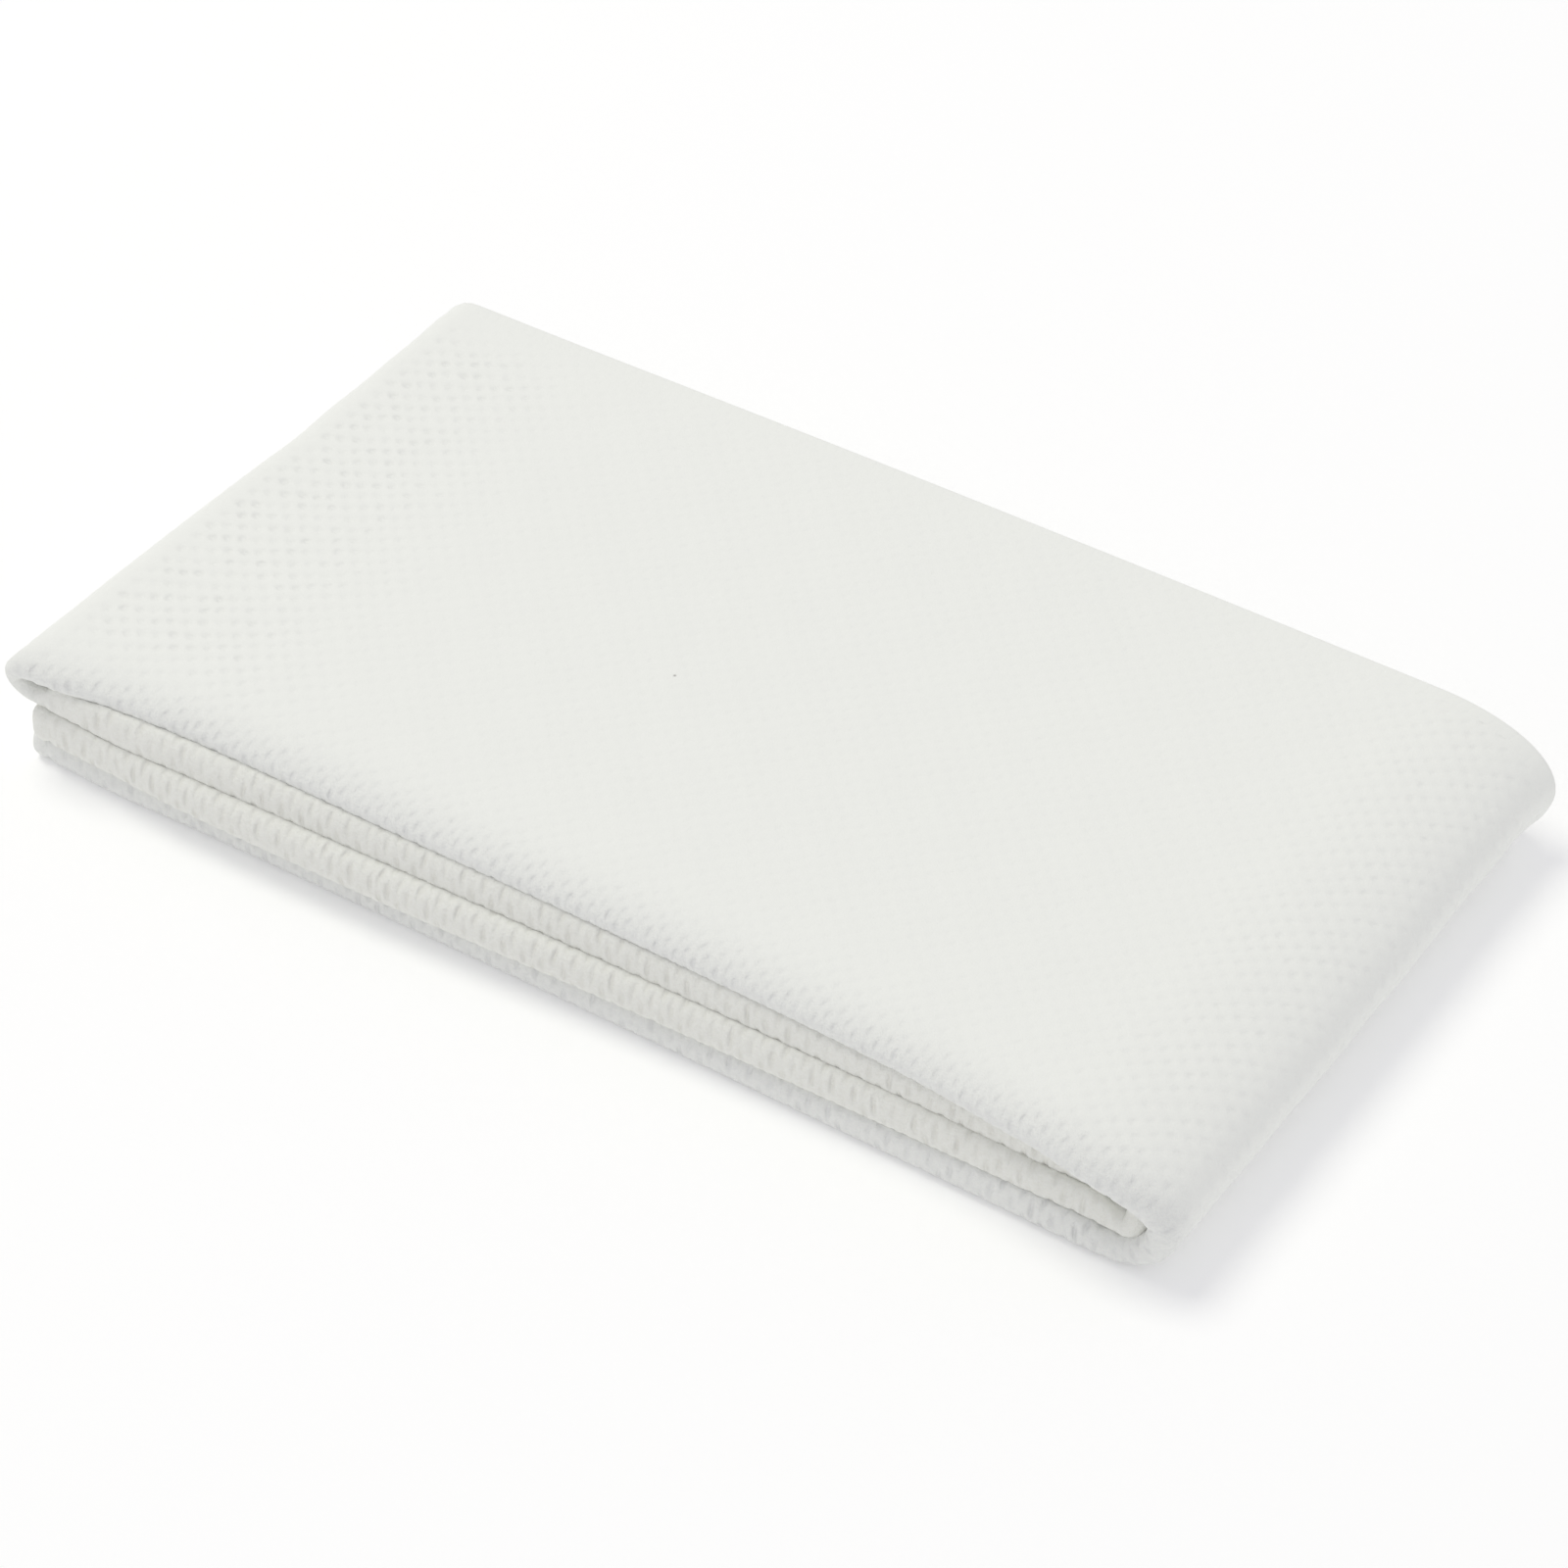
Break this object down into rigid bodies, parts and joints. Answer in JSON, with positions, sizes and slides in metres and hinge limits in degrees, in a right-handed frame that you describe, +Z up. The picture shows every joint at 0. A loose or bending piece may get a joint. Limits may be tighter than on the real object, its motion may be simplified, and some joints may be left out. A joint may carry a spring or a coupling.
{
  "type": "folded sports towel",
  "caption": "Sports towel of thick dimpled white knit, folded lengthwise and then twice across into a flat rectangular pile.",
  "frame": {"origin": "under the middle of the folded pile, on the surface that it lies on", "axes": "+X along the pile from its loose ends to its outer fold, +Y from the folded front edges to the loose back edges, +Z up"},
  "size_m": [0.2592, 0.15, 0.0259],
  "materials": {
    "knit": "matte lofty dimpled knit, white with a faint warm green cast"
  },
  "bodies": {
    "root": {"towel": "knit"}
  },
  "joints": []
}
